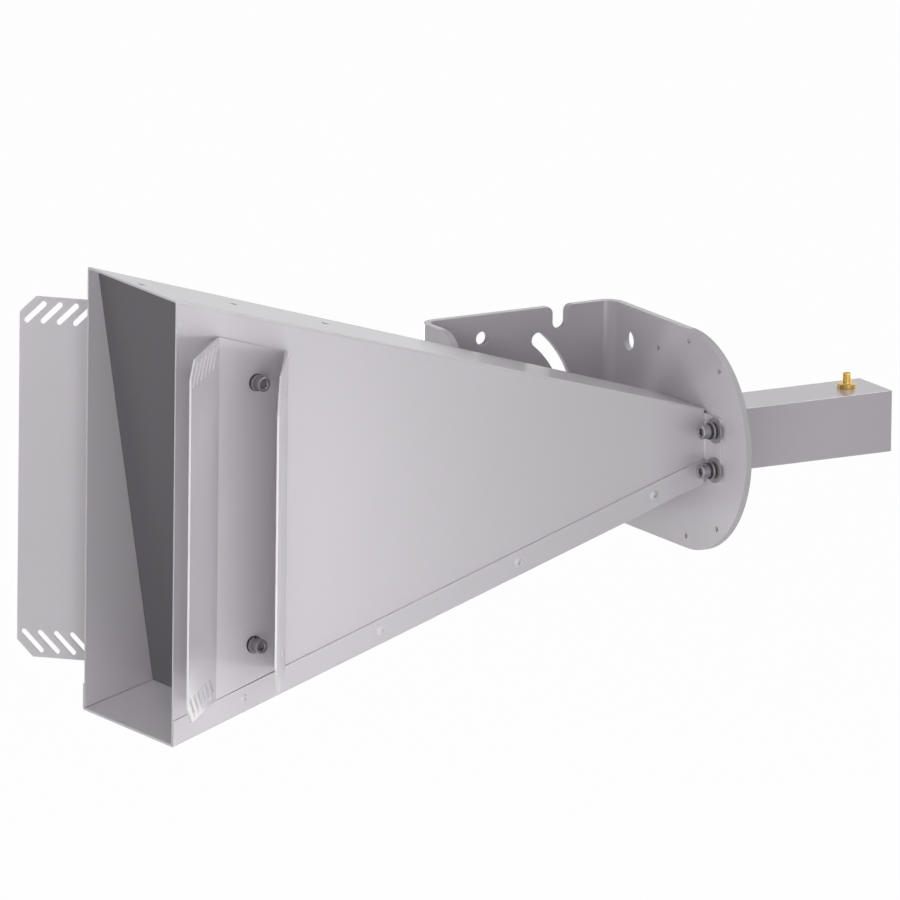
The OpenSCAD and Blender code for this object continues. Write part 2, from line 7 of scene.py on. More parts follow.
import math

import bmesh
import bpy
import numpy as np
from mathutils import Matrix, Vector


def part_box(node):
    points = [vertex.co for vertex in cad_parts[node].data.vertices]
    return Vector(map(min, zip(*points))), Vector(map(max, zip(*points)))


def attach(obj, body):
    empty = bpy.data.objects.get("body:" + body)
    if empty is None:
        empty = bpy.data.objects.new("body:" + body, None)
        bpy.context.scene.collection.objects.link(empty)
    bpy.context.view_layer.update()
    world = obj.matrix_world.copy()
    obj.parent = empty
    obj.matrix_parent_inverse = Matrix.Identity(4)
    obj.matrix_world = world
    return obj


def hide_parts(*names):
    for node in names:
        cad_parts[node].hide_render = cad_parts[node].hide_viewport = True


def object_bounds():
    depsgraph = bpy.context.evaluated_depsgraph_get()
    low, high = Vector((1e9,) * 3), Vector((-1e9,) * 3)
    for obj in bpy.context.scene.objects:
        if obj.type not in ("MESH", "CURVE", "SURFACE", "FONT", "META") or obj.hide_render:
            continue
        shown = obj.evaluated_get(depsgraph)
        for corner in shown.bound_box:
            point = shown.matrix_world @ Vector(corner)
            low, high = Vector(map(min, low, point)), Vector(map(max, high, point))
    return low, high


bl_info = {
    "name": "Sector Antenna",
    "version": (1, 0, 0),
    "blender": (4, 5, 0),
    "location": "3D View > Sidebar > Antenna",
    "description": "Dresses the sector antenna's solids and sets its studio stage",
    "category": "Object",
}

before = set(bpy.data.objects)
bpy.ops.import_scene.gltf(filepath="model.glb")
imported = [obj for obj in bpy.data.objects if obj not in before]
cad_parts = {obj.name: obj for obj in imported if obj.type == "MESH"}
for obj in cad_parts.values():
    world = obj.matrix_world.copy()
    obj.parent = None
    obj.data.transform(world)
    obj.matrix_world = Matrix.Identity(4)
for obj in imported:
    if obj.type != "MESH":
        bpy.data.objects.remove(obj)
for start_up in [o for o in bpy.data.objects if o.type == "MESH" and o.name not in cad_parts]:
    bpy.data.objects.remove(start_up)
cad_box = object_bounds()

MM = 0.001
# Distances within which a copied mesh's points are merged
SHEET_WELD = 0.06 * MM
RING_WELD = 0.02 * MM
SMALL_WELD = 0.01 * MM
# Rims whose edges are all shorter than this are rivet and screw holes
HOLE_EDGE = 0.5 * MM
# Roundings of the edges of tubes and of washers
TUBE_EDGE = 0.1 * MM
WASHER_EDGE = 0.12 * MM
# Angles above which an edge is rounded, is shaded as a crease, and bounds a plate's cut face
SHARP = math.radians(40)
CREASE = math.radians(30)
CORNER = math.radians(50)
# Angle below which neighbouring faces are one flat
FLAT = math.radians(0.4)
# Most width of a plate's cut face, as a share of the plate's thickness
CUT_WIDTH = 1.2


# Shared steps


def pick(obj):
    """Leaves obj alone selected and active, in object mode."""
    if bpy.context.object and bpy.context.object.mode != "OBJECT":
        bpy.ops.object.mode_set(mode="OBJECT")
    bpy.ops.object.select_all(action="DESELECT")
    obj.select_set(True)
    bpy.context.view_layer.objects.active = obj


def edit(obj, mode="FACE"):
    """Opens obj in edit mode with nothing selected."""
    pick(obj)
    bpy.ops.object.mode_set(mode="EDIT")
    bpy.ops.mesh.select_mode(type=mode)
    bpy.ops.mesh.select_all(action="DESELECT")


def select_faces(obj, test):
    """Selects the faces for which test is true, while obj is in edit mode."""
    mesh = bmesh.from_edit_mesh(obj.data)
    mesh.faces.ensure_lookup_table()
    for face in mesh.faces:
        face.select_set(test(face))
    mesh.select_flush_mode()
    bmesh.update_edit_mesh(obj.data)


def select_edges(obj, test):
    """Selects the edges for which test is true, while obj is in edit mode."""
    mesh = bmesh.from_edit_mesh(obj.data)
    mesh.edges.ensure_lookup_table()
    for edge in mesh.edges:
        edge.select_set(test(edge))
    mesh.select_flush_mode()
    bmesh.update_edit_mesh(obj.data)


def finished():
    """Leaves edit mode."""
    bpy.ops.object.mode_set(mode="OBJECT")


def apply_place(obj):
    """Moves the object's place into its mesh, so that the object sits at the origin."""
    pick(obj)
    bpy.ops.object.transform_apply(location=True, rotation=True, scale=True)


def joined(parts, name):
    """Joins the parts into one object."""
    bpy.ops.object.select_all(action="DESELECT")
    for part in parts:
        part.select_set(True)
    bpy.context.view_layer.objects.active = parts[0]
    if len(parts) > 1:
        bpy.ops.object.join()
    whole = bpy.context.view_layer.objects.active
    whole.name = name
    whole.data.name = name
    return whole


def fitted(obj, node, slot, *finishes):
    """Lets a finished piece stand for its CAD node, in the given finishes."""
    for finish in finishes:
        obj.data.materials.append(finish)
    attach(obj, "root")
    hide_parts(node)


def finish_node(node, finish):
    """Gives a CAD node that stays as it is its finish."""
    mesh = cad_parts[node].data
    mesh.materials.clear()
    mesh.materials.append(finish)


def sheet_copy(node, weld):
    """A copy of a CAD node whose mesh is welded and whose flat faces are whole."""
    obj = bpy.data.objects.new(node + "_piece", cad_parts[node].data.copy())
    bpy.context.scene.collection.objects.link(obj)
    obj.data.materials.clear()
    pick(obj)
    bpy.ops.mesh.customdata_custom_splitnormals_clear()
    edit(obj, "VERT")
    bpy.ops.mesh.select_all(action="SELECT")
    bpy.ops.mesh.remove_doubles(threshold=weld)
    bpy.ops.mesh.dissolve_degenerate(threshold=weld)
    bpy.ops.mesh.dissolve_limited(angle_limit=FLAT)
    finished()
    return obj


def mark_cut_faces(obj, thickness):
    """Gives the second finish to the narrow faces where a plate was cut."""
    mesh = bmesh.new()
    mesh.from_mesh(obj.data)
    for face in mesh.faces:
        long_edges = [e for e in face.edges if e.calc_length() > CUT_WIDTH * thickness]
        longest = max(e.calc_length() for e in face.edges)
        narrow = face.calc_area() / longest < CUT_WIDTH * thickness
        sharp = all(len(e.link_faces) == 2 and e.calc_face_angle() > CORNER for e in long_edges)
        face.material_index = int(narrow and sharp)
    mesh.to_mesh(obj.data)
    mesh.free()


def sharp_outlines(mesh):
    """The sharp edges of a mesh, in groups that hang together."""
    left = {e for e in mesh.edges if len(e.link_faces) == 2 and e.calc_face_angle() > SHARP}
    groups = []
    while left:
        group, queue = [], [left.pop()]
        while queue:
            edge = queue.pop()
            group.append(edge)
            near = {e for v in edge.verts for e in v.link_edges} & left
            left -= near
            queue.extend(near)
        groups.append(group)
    return groups


def break_edges(obj, width, fine=0.0):
    """Rounds the sharp outlines by a small width, but not holes with edges no longer than fine."""
    edit(obj, "EDGE")
    mesh = bmesh.from_edit_mesh(obj.data)
    mesh.edges.index_update()
    holes, outlines = set(), set()
    for group in sharp_outlines(mesh):
        is_hole = max(e.calc_length() for e in group) <= fine
        (holes if is_hole else outlines).update(e.index for e in group)
    select_edges(obj, lambda e: e.index in holes)
    bpy.ops.mesh.mark_sharp()
    select_edges(obj, lambda e: e.index in outlines)
    bpy.ops.transform.edge_bevelweight(value=1.0)
    finished()
    bpy.ops.object.shade_smooth(keep_sharp_edges=True)
    bevel = obj.modifiers.new("Broken edges", "BEVEL")
    bevel.width = width
    bevel.segments = 2
    bevel.limit_method = "WEIGHT"
    bevel.use_clamp_overlap = False
    bpy.ops.object.modifier_apply(modifier=bevel.name)
    even = obj.modifiers.new("Even flats", "WEIGHTED_NORMAL")
    even.mode = "FACE_AREA"
    even.weight = 100
    even.keep_sharp = True
    bpy.ops.object.modifier_apply(modifier=even.name)


# Turned and threaded forms

# Roundings of a cap screw's crown and tip, and the land round each flute
CROWN = 0.5 * MM
TIP = 0.3 * MM
LAND = 0.08 * MM
# Ends of the flutes, as shares of the head's height
FLUTE_SPAN = (0.12, 0.84)
# Reach of the cone that opens a socket, inside and outside the socket's corners
CONE_IN, CONE_OUT = 0.5 * MM, 0.7 * MM
# Depth of a screw's thread, as a share of its pitch
THREAD_DEPTH = 0.55
# Height of the ridge's lower end over a screw's tip, and length of the thread without turns
RIDGE_START, PLAIN_END = 0.75 * MM, 0.8 * MM
# How far a ridge starts inside a screw's shank and inside the connector's barrel
SHANK_SUNK, BARREL_SUNK = 0.1 * MM, 0.05 * MM
# Width of a ridge's foot, as a share of its pitch, and of its crest, as a share of its foot
RIDGE_FOOT, RIDGE_CREST = 0.86, 0.16
RIDGE_STEPS = 24
RIDGE_WELD = 0.005 * MM


def thread_ridge(root, crest, pitch, turns, low):
    """A closed ridge that winds up a shank about Z, from its root radius out to its crest."""
    bpy.ops.object.select_all(action="DESELECT")
    middle = (root + crest) / 2
    bpy.ops.mesh.primitive_plane_add(size=1, location=(middle, 0, low), rotation=(math.pi / 2, 0, 0))
    ridge = bpy.context.object
    ridge.scale = (crest - root, RIDGE_FOOT * pitch, 1)
    apply_place(ridge)
    edit(ridge, "EDGE")
    select_edges(ridge, lambda e: all(v.co.x > middle for v in e.verts))
    bpy.ops.transform.resize(value=(1, 1, RIDGE_CREST), center_override=(crest, 0, low))
    bpy.ops.mesh.select_all(action="SELECT")
    bpy.ops.mesh.delete(type="ONLY_FACE")
    finished()
    wind = ridge.modifiers.new("Winding", "SCREW")
    wind.axis = "Z"
    wind.screw_offset = pitch
    wind.iterations = turns
    wind.steps = wind.render_steps = RIDGE_STEPS
    wind.use_smooth_shade = False
    bpy.ops.object.modifier_apply(modifier=wind.name)
    edit(ridge)
    bpy.ops.mesh.select_all(action="SELECT")
    bpy.ops.mesh.remove_doubles(threshold=RIDGE_WELD)
    bpy.ops.mesh.fill_holes(sides=0)
    bpy.ops.mesh.normals_make_consistent(inside=False)
    finished()
    return ridge


def cut_away(obj, cutter):
    """Takes the cutter's form out of obj."""
    pick(obj)
    cut = obj.modifiers.new("Cut", "BOOLEAN")
    cut.operation = "DIFFERENCE"
    cut.solver = "EXACT"
    cut.object = cutter
    bpy.ops.object.modifier_apply(modifier=cut.name)
    bpy.data.objects.remove(cutter)


def cap_screw(p, length, thread):
    """A socket head screw along Z with its seat at Z = 0, its head up and so much thread at its end."""
    r, h = p.head_d / 2, p.head_h
    plain, minor = p.shank_d / 2, p.shank_d / 2 - THREAD_DEPTH * p.pitch
    socket_r = p.socket / 2 / math.cos(math.pi / 6)
    bpy.ops.object.select_all(action="DESELECT")
    bpy.ops.mesh.primitive_cylinder_add(
        vertices=2 * p.flutes, radius=r, depth=h, location=(0, 0, h / 2)
    )
    screw = bpy.context.object
    apply_place(screw)
    edit(screw)
    low, high = (share * h for share in FLUTE_SPAN)
    for z in (low, high):
        bpy.ops.mesh.select_all(action="SELECT")
        bpy.ops.mesh.bisect(plane_co=(0, 0, z), plane_no=(0, 0, 1))
    step = math.pi / p.flutes

    def every_other_side(face):
        c = face.calc_center_median()
        turn = math.floor(math.atan2(c.y, c.x) / step + 1e-3)
        return abs(face.normal.z) < 0.1 and low < c.z < high and turn % 2 == 0

    select_faces(screw, every_other_side)
    bpy.ops.mesh.inset(thickness=LAND, depth=-p.flute_depth, use_individual=True)
    select_edges(screw, lambda e: all(abs(v.co.z - h) < 1e-6 for v in e.verts))
    bpy.ops.mesh.bevel(offset=CROWN, segments=3)
    select_faces(screw, lambda f: f.normal.z < -0.9 and len(f.verts) > 8)
    bpy.ops.mesh.inset(thickness=r - plain)
    bpy.ops.mesh.extrude_region_move(TRANSFORM_OT_translate={"value": (0, 0, thread - length)})
    bpy.ops.mesh.inset(thickness=plain - minor)
    bpy.ops.mesh.extrude_region_move(TRANSFORM_OT_translate={"value": (0, 0, -thread)})
    select_edges(screw, lambda e: all(v.co.z < -length + 1e-6 for v in e.verts))
    bpy.ops.mesh.bevel(offset=TIP, segments=1)
    finished()
    bpy.ops.mesh.primitive_cylinder_add(
        vertices=6, radius=socket_r, depth=2 * p.socket_depth, location=(0, 0, h)
    )
    cut_away(screw, bpy.context.object)
    bpy.ops.mesh.primitive_cone_add(
        vertices=48,
        radius1=socket_r - CONE_IN,
        radius2=socket_r + CONE_OUT,
        depth=CONE_IN + CONE_OUT,
        location=(0, 0, h),
    )
    cut_away(screw, bpy.context.object)
    turns = int((thread - PLAIN_END) / p.pitch)
    ridge = thread_ridge(minor - SHANK_SUNK, plain, p.pitch, turns, RIDGE_START - length)
    return joined([screw, ridge], "cap_screw")


def solids_of(node):
    """The loose solids of a CAD node, each as an object of its own."""
    whole = sheet_copy(node, SMALL_WELD)
    edit(whole)
    bpy.ops.mesh.select_all(action="SELECT")
    bpy.ops.mesh.separate(type="LOOSE")
    finished()
    return list(bpy.context.selected_objects)


def screw_places(node, head_h):
    """Each screw of a CAD node as a matrix on its seat, with Z out of its head, and its length."""
    places = []
    for solid in solids_of(node):
        points = np.array([v.co for v in solid.data.vertices])
        middle = (points.max(0) + points.min(0)) / 2
        spread, axes = np.linalg.eigh(np.cov((points - points.mean(0)).T))
        axis = Vector(axes[:, int(np.argmax(np.abs(spread - np.median(spread))))])
        along = [(Vector(q) - Vector(middle)).dot(axis) for q in points]
        out = [(Vector(q) - Vector(middle) - axis * a).length for q, a in zip(points, along)]
        low_r = max(r for r, a in zip(out, along) if a < min(along) + MM)
        high_r = max(r for r, a in zip(out, along) if a > max(along) - MM)
        if low_r > high_r:
            axis, along = -axis, [-a for a in along]
        seat = Vector(middle) + axis * (max(along) - head_h)
        turn = axis.to_track_quat("Z", "Y").to_matrix().to_4x4()
        places.append((Matrix.Translation(seat) @ turn, max(along) - min(along) - head_h))
        bpy.data.objects.remove(solid)
    return places


# Finishes

# Cells to the metre of the finishes' patterns, and the height of their relief
CLOUDS, GRAIN, TOOL_MARKS, TOOTH = 18, 1500, 2500, 1200
RELIEF = 0.05 * MM
# The middle range of a noise pattern's values
MIDDLE = (0.3, 0.7)
# Tone of the bracket's cut faces, as a share of its colour; the darker tone is painted shade on the rim
PAINTED_RIM_SHADE = 0.93


def new_finish(name):
    """A material with its node tree, its shader and its object coordinates."""
    finish = bpy.data.materials.new(name)
    finish.use_nodes = True
    nodes = finish.node_tree.nodes
    shader = nodes["Principled BSDF"]
    place = nodes.new("ShaderNodeTexCoord")
    return finish, finish.node_tree, shader, place.outputs["Object"]


def noise(tree, place, scale, detail):
    """A noise pattern of so many cells to the metre."""
    pattern = tree.nodes.new("ShaderNodeTexNoise")
    pattern.inputs["Scale"].default_value = scale
    pattern.inputs["Detail"].default_value = detail
    tree.links.new(place, pattern.inputs["Vector"])
    return pattern.outputs["Fac"]


def ranged(tree, value, low, high):
    """Maps a pattern's middle range on to two values."""
    node = tree.nodes.new("ShaderNodeMapRange")
    node.inputs["From Min"].default_value, node.inputs["From Max"].default_value = MIDDLE
    node.inputs["To Min"].default_value = low
    node.inputs["To Max"].default_value = high
    tree.links.new(value, node.inputs["Value"])
    return node.outputs["Result"]


def shaded(tree, value, colour, spread):
    """A colour that gets a little lighter and darker with a pattern."""
    ramp = tree.nodes.new("ShaderNodeValToRGB")
    for element, at, k in zip(ramp.color_ramp.elements, MIDDLE, (1 - spread, 1 + spread)):
        element.position = at
        element.color = (*(min(1.0, c * k) for c in colour), 1.0)
    tree.links.new(value, ramp.inputs["Fac"])
    return ramp.outputs["Color"]


def bumped(tree, shader, height, strength):
    """Raises the surface by a pattern."""
    bump = tree.nodes.new("ShaderNodeBump")
    bump.inputs["Strength"].default_value = strength
    bump.inputs["Distance"].default_value = RELIEF
    tree.links.new(height, bump.inputs["Height"])
    tree.links.new(bump.outputs["Normal"], shader.inputs["Normal"])


def satin_metal(name, colour, roughness, metallic=0.12, ior=1.5):
    """Satin sheet metal with a fine grain and a faint cloudiness."""
    finish, tree, shader, place = new_finish(name)
    shader.inputs["Metallic"].default_value = metallic
    shader.inputs["IOR"].default_value = ior
    cloud = noise(tree, place, CLOUDS, 3.0)
    fine = noise(tree, place, GRAIN, 1.0)
    tree.links.new(shaded(tree, fine, colour, 0.02), shader.inputs["Base Color"])
    tree.links.new(ranged(tree, cloud, roughness - 0.02, roughness + 0.02), shader.inputs["Roughness"])
    bumped(tree, shader, fine, 0.06)
    return finish


def bright_metal(name, colour, roughness):
    """Plain bright metal with faint tool marks."""
    finish, tree, shader, place = new_finish(name)
    shader.inputs["Metallic"].default_value = 1.0
    shader.inputs["Base Color"].default_value = (*colour, 1.0)
    marks = noise(tree, place, TOOL_MARKS, 1.0)
    tree.links.new(ranged(tree, marks, roughness - 0.04, roughness + 0.04), shader.inputs["Roughness"])
    return finish


def panel_plastic(name, colour):
    """Matt sheet plastic with a fine tooth."""
    finish, tree, shader, place = new_finish(name)
    tooth = noise(tree, place, TOOTH, 2.0)
    shader.inputs["Roughness"].default_value = 0.6
    shader.inputs["Specular IOR Level"].default_value = 0.3
    tree.links.new(shaded(tree, tooth, colour, 0.03), shader.inputs["Base Color"])
    bumped(tree, shader, tooth, 0.1)
    return finish


# Settings


class AntennaSheet(bpy.types.PropertyGroup):
    """Finish of the folded sheet pieces and the bracket."""

    horn_colour: bpy.props.FloatVectorProperty(
        name="Horn",
        description="Colour of the horn and fin sheet",
        subtype="COLOR",
        default=(0.648, 0.62, 0.657),
    )
    bracket_colour: bpy.props.FloatVectorProperty(
        name="Bracket",
        description="Colour of the bracket",
        subtype="COLOR",
        default=(0.648, 0.62, 0.657),
    )
    tube_colour: bpy.props.FloatVectorProperty(
        name="Waveguide",
        description="Colour of the waveguide tube",
        subtype="COLOR",
        default=(0.575, 0.533, 0.585),
    )
    roughness: bpy.props.FloatProperty(
        name="Roughness",
        description="Roughness of the satin finish",
        subtype="FACTOR",
        default=0.24,
        min=0.0,
        max=1.0,
    )
    plate: bpy.props.FloatProperty(
        name="Plate", description="Thickness of the bracket's plate", unit="LENGTH", default=5 * MM
    )
    edge: bpy.props.FloatProperty(
        name="Sheet edge",
        description="Rounding of the sheet's cut edges",
        unit="LENGTH",
        default=0.15 * MM,
    )
    plate_edge: bpy.props.FloatProperty(
        name="Plate edge",
        description="Rounding of the bracket's cut edges",
        unit="LENGTH",
        default=0.3 * MM,
    )


class AntennaScrews(bpy.types.PropertyGroup):
    """Form and finish of the cap screws, washers, nuts and rivets."""

    head_d: bpy.props.FloatProperty(
        name="Head", description="Diameter of the heads", unit="LENGTH", default=10 * MM
    )
    head_h: bpy.props.FloatProperty(
        name="Head height", description="Height of the heads", unit="LENGTH", default=6 * MM
    )
    shank_d: bpy.props.FloatProperty(
        name="Shank", description="Diameter of the shanks", unit="LENGTH", default=6 * MM
    )
    socket: bpy.props.FloatProperty(
        name="Socket",
        description="Width of the hex sockets across their flats",
        unit="LENGTH",
        default=5 * MM,
    )
    socket_depth: bpy.props.FloatProperty(
        name="Socket depth", description="Depth of the hex sockets", unit="LENGTH", default=3 * MM
    )
    flutes: bpy.props.IntProperty(
        name="Flutes", description="Number of grooves round a head", default=32, min=12, max=48
    )
    flute_depth: bpy.props.FloatProperty(
        name="Flute depth", description="Depth of the grooves", unit="LENGTH", default=0.2 * MM
    )
    pitch: bpy.props.FloatProperty(
        name="Pitch", description="Pitch of the thread", unit="LENGTH", default=1 * MM
    )
    thread: bpy.props.FloatProperty(
        name="Thread",
        description="Length of the thread at the screws' ends",
        unit="LENGTH",
        default=8 * MM,
    )
    steel_colour: bpy.props.FloatVectorProperty(
        name="Steel",
        description="Colour of the screws and nuts",
        subtype="COLOR",
        default=(0.37, 0.355, 0.375),
    )
    washer_colour: bpy.props.FloatVectorProperty(
        name="Washers",
        description="Colour of the plain washers",
        subtype="COLOR",
        default=(0.36, 0.345, 0.365),
    )
    # Painted shade: a near black for the washers whose sides stand for the shadowed rings of the screw
    # stacks
    washer_shade_colour: bpy.props.FloatVectorProperty(
        name="Shaded washers",
        description="Colour of the washers painted dark as shade",
        subtype="COLOR",
        default=(0.06, 0.056, 0.06),
    )
    rivet_colour: bpy.props.FloatVectorProperty(
        name="Rivets", description="Colour of the rivets", subtype="COLOR", default=(0.66, 0.63, 0.67)
    )


class AntennaFeed(bpy.types.PropertyGroup):
    """Finish of the connector, its insulator, the probe and the radome panel."""

    gilt_colour: bpy.props.FloatVectorProperty(
        name="Gilt",
        description="Colour of the plated connector",
        subtype="COLOR",
        default=(0.6, 0.41, 0.125),
    )
    insulator_colour: bpy.props.FloatVectorProperty(
        name="Insulator",
        description="Colour of the connector's insulator",
        subtype="COLOR",
        default=(0.85, 0.84, 0.8),
    )
    radome_colour: bpy.props.FloatVectorProperty(
        name="Radome",
        description="Colour of the radome panel",
        subtype="COLOR",
        default=(0.146, 0.139, 0.152),
    )
    barrel_d: bpy.props.FloatProperty(
        name="Barrel",
        description="Diameter of the connector's barrel",
        unit="LENGTH",
        default=6.35 * MM,
    )
    thread_start: bpy.props.FloatProperty(
        name="Thread start",
        description="Depth of the thread's lower end below the top",
        unit="LENGTH",
        default=6.4 * MM,
    )
    thread_end: bpy.props.FloatProperty(
        name="Thread end",
        description="Depth of the thread's upper end below the top",
        unit="LENGTH",
        default=1.4 * MM,
    )
    thread_pitch: bpy.props.FloatProperty(
        name="Thread pitch",
        description="Pitch of the connector's thread",
        unit="LENGTH",
        default=0.7 * MM,
    )
    thread_depth: bpy.props.FloatProperty(
        name="Thread depth",
        description="Depth of the connector's thread",
        unit="LENGTH",
        default=0.12 * MM,
    )


class AntennaStage(bpy.types.PropertyGroup):
    """Camera, lamps and floor."""

    azimuth: bpy.props.FloatProperty(
        name="Azimuth",
        description="Camera's angle round the antenna",
        subtype="ANGLE",
        default=math.radians(60.04),
    )
    elevation: bpy.props.FloatProperty(
        name="Elevation",
        description="Camera's angle above the horizon",
        subtype="ANGLE",
        default=math.radians(13.31),
    )
    roll: bpy.props.FloatProperty(
        name="Roll",
        description="Camera's turn about its own axis",
        subtype="ANGLE",
        default=math.radians(0.52),
    )
    distance: bpy.props.FloatProperty(
        name="Distance",
        description="Camera's distance from the horn's mouth",
        unit="LENGTH",
        default=16.0,
    )
    mouth: bpy.props.FloatVectorProperty(
        name="Mouth",
        description="Centre of the horn's mouth",
        subtype="TRANSLATION",
        default=(0.1067, -0.3382, 0.0),
    )
    aim: bpy.props.FloatVectorProperty(
        name="Aim",
        description="Point at the middle of the picture",
        subtype="TRANSLATION",
        default=(0.2071, -0.1452, 0.0394),
    )
    lens: bpy.props.FloatProperty(
        name="Lens", description="Focal length in millimetres", subtype="DISTANCE_CAMERA", default=940.8
    )
    drop: bpy.props.FloatProperty(
        name="Floor drop",
        description="Height of the antenna above the floor",
        unit="LENGTH",
        default=0.55,
    )
    sky: bpy.props.FloatProperty(
        name="Sky", description="Strength of the even light all round", default=0.0, min=0.0, max=2.0
    )
    lamps: bpy.props.FloatProperty(
        name="Lamps", description="Share of their power at which the lamps burn", default=1.0, min=0.0
    )


# Operators


class ANTENNA_OT_dress_sheets(bpy.types.Operator):
    """Break the edges of the horn shells and fins and give them their finish"""

    bl_idname = "antenna.dress_sheets"
    bl_label = "Dress Sheets"

    def execute(self, context):
        p = context.scene.antenna_sheet
        satin = satin_metal("satin_sheet", p.horn_colour, p.roughness)
        for node in ("horn_upper_shell", "horn_lower_shell", "fin_left", "fin_right"):
            obj = sheet_copy(node, SHEET_WELD)
            break_edges(obj, p.edge, HOLE_EDGE)
            fitted(obj, node, "sheet_metal", satin)
        return {"FINISHED"}


class ANTENNA_OT_dress_bracket(bpy.types.Operator):
    """Break the bracket's edges and give it its finish"""

    bl_idname = "antenna.dress_bracket"
    bl_label = "Dress Bracket"

    def execute(self, context):
        p = context.scene.antenna_sheet
        satin = satin_metal("satin_plate", p.bracket_colour, p.roughness)
        # The cut faces are painted a little darker than the plate, as painted shade on the rim
        painted_shade_rim_colour = [PAINTED_RIM_SHADE * c for c in p.bracket_colour]
        rim = satin_metal("plate_rim", painted_shade_rim_colour, roughness=0.6, metallic=0.0)
        obj = sheet_copy("mount_bracket", SHEET_WELD)
        mark_cut_faces(obj, p.plate)
        break_edges(obj, p.plate_edge, HOLE_EDGE)
        fitted(obj, "mount_bracket", "bracket", satin, rim)
        return {"FINISHED"}


class ANTENNA_OT_dress_waveguide(bpy.types.Operator):
    """Break the edges of the waveguide tube and its end plate and give them their finish"""

    bl_idname = "antenna.dress_waveguide"
    bl_label = "Dress Waveguide"

    def execute(self, context):
        p = context.scene.antenna_sheet
        drawn = satin_metal("drawn_tube", p.tube_colour, roughness=0.22, ior=1.9)
        for node in ("waveguide_tube", "waveguide_end_plate"):
            obj = sheet_copy(node, RING_WELD)
            break_edges(obj, TUBE_EDGE)
            fitted(obj, node, "sheet_metal", drawn)
        return {"FINISHED"}


class ANTENNA_OT_dress_radome(bpy.types.Operator):
    """Give the radome panel its finish"""

    bl_idname = "antenna.dress_radome"
    bl_label = "Dress Radome"

    def execute(self, context):
        plastic = panel_plastic("radome_plastic", context.scene.antenna_feed.radome_colour)
        finish_node("radome_panel", plastic)
        return {"FINISHED"}


class ANTENNA_OT_make_screws(bpy.types.Operator):
    """Make the fluted cap screws that hold the fins and the throat tabs"""

    bl_idname = "antenna.make_screws"
    bl_label = "Make Screws"

    def execute(self, context):
        p = context.scene.antenna_screws
        steel = bright_metal("screw_steel", p.steel_colour, roughness=0.34)
        for node in ("fin_screws", "throat_screws"):
            places = screw_places(node, p.head_h)
            first = cap_screw(p, places[0][1], p.thread)
            copies = []
            for place, _ in places:
                copy = bpy.data.objects.new(node, first.data.copy())
                context.scene.collection.objects.link(copy)
                copy.data.transform(place)
                copies.append(copy)
            bpy.data.objects.remove(first)
            screws = joined(copies, node + "_piece")
            pick(screws)
            bpy.ops.object.shade_smooth_by_angle(angle=CREASE)
            fitted(screws, node, "hardware", steel)
        return {"FINISHED"}


class ANTENNA_OT_dress_washers(bpy.types.Operator):
    """Break the edges of the washers and give them and the nuts their finish"""

    bl_idname = "antenna.dress_washers"
    bl_label = "Dress Washers"

    def execute(self, context):
        p = context.scene.antenna_screws
        plain = satin_metal("washer_steel", p.washer_colour, roughness=0.36, metallic=0.6)
        # The dark finish paints shade on the fins' flat washers and the throat's lock washers
        dark = satin_metal("painted_shade_steel", p.washer_shade_colour, roughness=0.4, metallic=0.6)
        steel = bright_metal("nut_steel", p.steel_colour, roughness=0.32)
        washers = {
            "fin_flat_washers": dark,
            "fin_lock_washers": plain,
            "throat_wide_washers": plain,
            "throat_flat_washers": plain,
            "throat_lock_washers": dark,
            "throat_nut_washers": plain,
        }
        for node, finish in washers.items():
            obj = sheet_copy(node, RING_WELD)
            break_edges(obj, WASHER_EDGE)
            fitted(obj, node, "hardware", finish)
        for node in ("fin_nuts", "throat_nuts"):
            finish_node(node, steel)
        return {"FINISHED"}


class ANTENNA_OT_dress_rivets(bpy.types.Operator):
    """Give the rivets their finish"""

    bl_idname = "antenna.dress_rivets"
    bl_label = "Dress Rivets"

    def execute(self, context):
        p = context.scene.antenna_screws
        finish_node("shell_rivets", satin_metal("rivet_alloy", p.rivet_colour, roughness=0.3))
        return {"FINISHED"}


class ANTENNA_OT_dress_feed(bpy.types.Operator):
    """Thread the connector and give it, its insulator and the probe their finish"""

    bl_idname = "antenna.dress_feed"
    bl_label = "Dress Feed"

    def execute(self, context):
        p = context.scene.antenna_feed
        gilt = bright_metal("gilt", p.gilt_colour, roughness=0.26)
        fitted(self.threaded(p), "connector_body", "gilt", gilt)
        finish_node("feed_probe", gilt)
        finish_node("connector_insulator", panel_plastic("white_insulator", p.insulator_colour))
        return {"FINISHED"}

    def threaded(self, p):
        """A copy of the connector whose barrel is turned down and carries a thread."""
        body = sheet_copy("connector_body", SMALL_WELD)
        low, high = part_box("connector_body")
        axis = Vector(((low.x + high.x) / 2, (low.y + high.y) / 2, 0))
        start, end = high.z - p.thread_start, high.z - p.thread_end
        edit(body)
        for z in (start, end):
            bpy.ops.mesh.select_all(action="SELECT")
            bpy.ops.mesh.bisect(plane_co=(0, 0, z), plane_no=(0, 0, 1))

        def barrel_side(face):
            c = face.calc_center_median()
            return start < c.z < end and face.normal.dot(Vector((c.x, c.y, 0)) - axis) > 0

        select_faces(body, barrel_side)
        k = 1 - p.thread_depth / (p.barrel_d / 2)
        bpy.ops.transform.resize(value=(k, k, 1), center_override=axis)
        finished()
        break_edges(body, TUBE_EDGE)
        turns = int((end - start) / p.thread_pitch)
        crest = p.barrel_d / 2
        root = crest - p.thread_depth - BARREL_SUNK
        ridge = thread_ridge(root, crest, p.thread_pitch, turns, start)
        ridge.location = axis
        apply_place(ridge)
        bpy.ops.object.shade_smooth_by_angle(angle=CREASE)
        return joined([body, ridge], "connector_body_piece")


